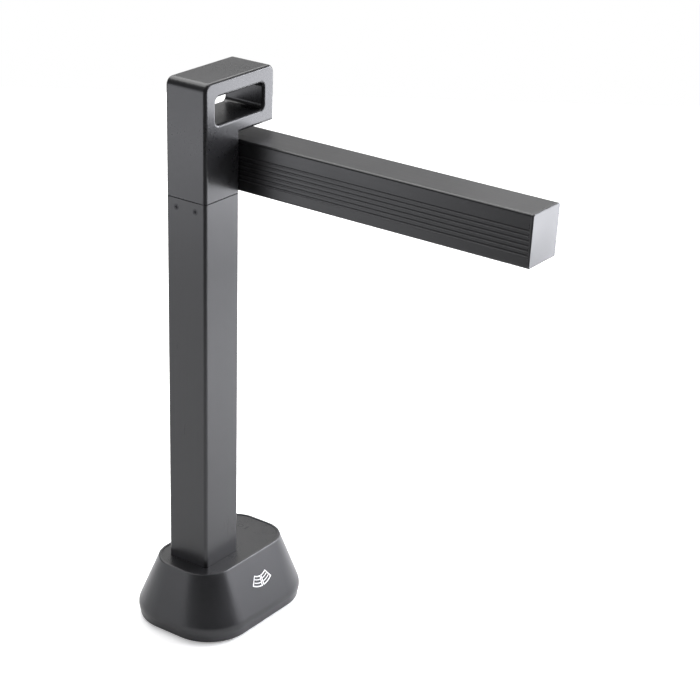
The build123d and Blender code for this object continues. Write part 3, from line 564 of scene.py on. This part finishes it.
# %% [markdown]
# ## Camera parts
# The lens and its window are glass with a thin coating that tints what it mirrors, and
# fingers leave faint marks on the window. The sensor's face is a fine grid of cells over a
# slow shift of colour. The lens barrel is turned aluminium, anodised black inside and out
# to stop stray light.

# %% Camera parts
VIOLET = (0.10, 0.05, 0.16)
CELL_LINE = (0.01, 0.01, 0.012)


def coated_glass(name, tint):
    """Clear glass with a faint coating tint and a few fingerprints."""
    finish = Finish(name, (0.95, 0.97, 1.0), 0.03, Transmission_Weight=1.0, IOR=1.5)
    film = finish.noise(6 * MM, 2.0)
    finish.tint(film.step(0.3, 0.7) * 0.35, tint)
    finish.set("Roughness", 0.02 + finish.noise(2 * MM, 4.0).step(0.5, 0.8) * 0.06)
    finish.bump(film, 0.003 * MM, 0.2)
    return finish


def gridded_chip(name, colour, pitch):
    """A sensor's face: a fine grid of cells with a slow shift of colour."""
    finish = Finish(name, colour, 0.16, Metallic=0.5)
    x, y, _ = finish.axes()
    across = (x / pitch).math("FRACT").away(0.5)
    along = (y / pitch).math("FRACT").away(0.5)
    lines = across.high(along)
    finish.tint(finish.noise(3 * MM, 1.0).step(0.35, 0.65), VIOLET)
    finish.tint(lines.step(0.42, 0.48) * 0.7, CELL_LINE)
    finish.set("Roughness", 0.14 + lines.step(0.42, 0.48) * 0.3)
    finish.bump(lines, 0.005 * MM, 0.3)
    return finish


coated_glass("coated_glass", (0.80, 0.72, 0.98)).dress("lens_glass", "camera_window")
gridded_chip("sensor_face", (0.03, 0.05, 0.10), 0.4 * MM).dress("image_sensor")
bare_metal("black_lens_metal", (0.020, 0.020, 0.022), 0.38, (1.0, 1.0, 0.05), 0.1, 0.5).dress(
    "lens_barrel")
print("finishes so far:", len(bpy.data.materials))

# %% [markdown]
# ## Lights under the arm
# A row of small white packages, each with a yellow phosphor window, sits behind a frosted
# strip. Fine ribs across the strip spread the light along the page, and they are a bump,
# because they are finer than the strip's own outline.

# %% Lights under the arm
WARM_CLOUD = (0.74, 0.73, 0.68)
PHOSPHOR = (0.86, 0.66, 0.12)


def ribbed_diffuser(name, colour, pitch):
    """Frosted plastic with ribs across the strip, lightly yellowed in clouds."""
    finish = Finish(name, colour, 0.36, Transmission_Weight=0.35)
    _, y, _ = finish.axes()
    rib = (y / pitch).math("FRACT").away(0.5)
    cloud = finish.noise(20 * MM, 3.0)
    finish.tint(cloud.step(0.4, 0.8) * 0.4, WARM_CLOUD)
    finish.set("Roughness", 0.32 + cloud * 0.12)
    finish.bump(rib, 0.4 * MM, 0.8)
    return finish


def led_face(name):
    """A white package with a yellow phosphor window."""
    finish = Finish(name, (0.80, 0.79, 0.74), 0.28)
    cloud = finish.noise(0.8 * MM, 2.0)
    finish.tint(cloud.step(0.4, 0.6), PHOSPHOR)
    finish.set("Roughness", 0.22 + cloud * 0.15)
    finish.bump(cloud, 0.03 * MM, 0.5)
    return finish


ribbed_diffuser("ribbed_diffuser", (0.84, 0.85, 0.85), 1.2 * MM).dress("led_diffuser")
led_face("led_resin").dress("leds")
print("finishes so far:", len(bpy.data.materials))

# %% [markdown]
# ## Two pages of an open-book mark
# The maker prints its mark on the sloped front of the base. This one wears a plain open
# book instead: two pages that curve up from the spine, with two lines on each. A curve
# could be drawn for every bar, but it is easier to lay straight bars flat and let one
# modifier bend the whole page in its own plane. The bars are cut into columns first, so
# that they have corners to bend at.

# %% Pages
PAGE = Vector((8.0, 6.8, 0.0)) * MM
PAGE_BEND = math.radians(34)
PAGE_FROM_SPINE = 0.35 * MM
BAR_WIDE = 0.75 * MM
LINE_LONG = 5.8 * MM
LINE_WIDE = BAR_WIDE * 0.8
LINE_HEIGHTS = (-0.17, 0.17)
BEND_COLUMNS = 12


def deselect():
    """Operators act on all that is selected, so each piece starts from nothing."""
    bpy.ops.object.select_all(action="DESELECT")


def apply_modifiers(piece):
    """Turns the active piece's modifiers into plain mesh, in their order."""
    for modifier in list(piece.modifiers):
        bpy.ops.object.modifier_apply(modifier=modifier.name)


def join(pieces, name):
    """Joins several pieces into one mesh, whose origin stays at the first one's."""
    deselect()
    for piece in pieces:
        piece.select_set(True)
    bpy.context.view_layer.objects.active = pieces[0]
    bpy.ops.object.join()
    joined = bpy.context.object
    joined.name = name
    return joined


def flat_strip(name, width, height, across, up):
    """A flat strip in the XY plane, cut into columns so that it can bend."""
    deselect()
    bpy.ops.mesh.primitive_grid_add(x_subdivisions=BEND_COLUMNS, y_subdivisions=1, size=1,
                                    location=(across, up, 0))
    strip = bpy.context.object
    strip.name = name
    strip.scale = (width, height, 1)
    bpy.ops.object.transform_apply(location=True, rotation=False, scale=True)
    return strip


def page_strips(side):
    """The four bars that frame one page and the two lines on it, flat."""
    middle = side * (PAGE.x / 2 + PAGE_FROM_SPINE)
    strips = [flat_strip("edge", PAGE.x, BAR_WIDE, middle, up * PAGE.y / 2) for up in (-1, 1)]
    for end in (-1, 1):
        across = middle + end * (PAGE.x - BAR_WIDE) / 2
        strips.append(flat_strip("side", BAR_WIDE, PAGE.y, across, 0))
    for up in LINE_HEIGHTS:
        strips.append(flat_strip("line", LINE_LONG, LINE_WIDE, middle, up * PAGE.y))
    return strips


def bent_page(side):
    """One page, bent in its own plane so that it arches up and away from the spine."""
    page = join(page_strips(side), "page")
    bend = page.modifiers.new("arch", "SIMPLE_DEFORM")
    bend.deform_method = "BEND"
    bend.deform_axis = "Z"
    bend.angle = PAGE_BEND
    apply_modifiers(page)
    return page


pages = [bent_page(side) for side in (-1, 1)]
print("pages:", [len(page.data.polygons) for page in pages], "faces")

# %% [markdown]
# ## The mark on the base's slope
# The pages are joined, given the thickness of a layer of ink, turned up and leaned back
# by the slope's own angle. The slope runs from the top of the rim band to the lip, so its
# angle and the mark's distance in front are worked out from those two heights. The mark
# stands a hair proud, because ink that lay exactly in the surface would flicker.

# %% Mark on the slope
RIM_FRONT = 42.6 * MM
RIM_TOP = 10.05 * MM
LIP_FRONT = 27.65 * MM
LIP_TOP = 46.2 * MM
SLOPE = math.atan2(RIM_FRONT - LIP_FRONT, LIP_TOP - RIM_TOP)
MARK_RIGHT = 2.4 * MM
MARK_HEIGHT = 28.63 * MM
MARK_PROUD = 0.044 * MM
INK = 0.06 * MM


def slope_front(height):
    """How far in front of the middle the slope is at a height."""
    return RIM_FRONT - (height - RIM_TOP) * math.tan(SLOPE)


def print_on_slope(drawing):
    """Gives a flat drawing its ink and lays it on the base's sloped front."""
    ink = drawing.modifiers.new("ink", "SOLIDIFY")
    ink.thickness = INK
    apply_modifiers(drawing)
    drawing.rotation_euler = (math.radians(90) - SLOPE, 0, 0)
    drawing.location = (MARK_RIGHT, -slope_front(MARK_HEIGHT) - MARK_PROUD, MARK_HEIGHT)
    bpy.ops.object.transform_apply(location=True, rotation=True, scale=True)


mark = join(pages, "book_mark")
print_on_slope(mark)
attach(mark, "stand")
soft_plastic("white_ink", (0.80, 0.80, 0.80), 0.45, 0.2 * MM).dress("book_mark")
print("book mark:", len(mark.data.polygons), "faces", [round(v / MM, 1) for v in mark.dimensions])

# %% [markdown]
# ## Socket contacts
# The tongue in the USB-C socket carries a row of gold-plated contacts on each face. One
# contact is a thin bar with softened edges, and an array makes the rest at half-millimetre
# steps. The row below is made in the same way on the tongue's other face. The socket's
# own box says where the tongue is.

# %% Socket contacts
CONTACT = Vector((0.27, 4.6, 0.05)) * MM
CONTACT_PITCH = 0.5 * MM
CONTACT_COUNT = 12
CONTACT_SOFT = 0.015 * MM
CONTACT_INSIDE = 1.4 * MM
TONGUE_HALF = 0.35 * MM


def contact_row(side):
    """One row of contacts on a face of the tongue; side is +1 above and -1 below."""
    low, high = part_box("usb_socket")
    first = -CONTACT_PITCH * (CONTACT_COUNT - 1) / 2
    up = (low[2] + high[2]) / 2 + side * (TONGUE_HALF + CONTACT.z / 2)
    back = high[1] - CONTACT_INSIDE - CONTACT.y / 2
    deselect()
    bpy.ops.mesh.primitive_cube_add(size=1, location=(first, back, up))
    row = bpy.context.object
    row.scale = CONTACT
    bpy.ops.object.transform_apply(location=True, rotation=False, scale=True)
    soft = row.modifiers.new("soft", "BEVEL")
    soft.width = CONTACT_SOFT
    soft.segments = 2
    copies = row.modifiers.new("copies", "ARRAY")
    copies.count = CONTACT_COUNT
    copies.use_relative_offset = False
    copies.use_constant_offset = True
    copies.constant_offset_displace = (CONTACT_PITCH, 0, 0)
    apply_modifiers(row)
    return row


contacts = join([contact_row(1), contact_row(-1)], "usb_contacts")
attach(contacts, "stand")
bare_metal("gold_plate", (0.80, 0.56, 0.20), 0.24, (1.0, 0.1, 1.0)).dress("usb_contacts")
print("contacts:", len(contacts.data.polygons), "faces")
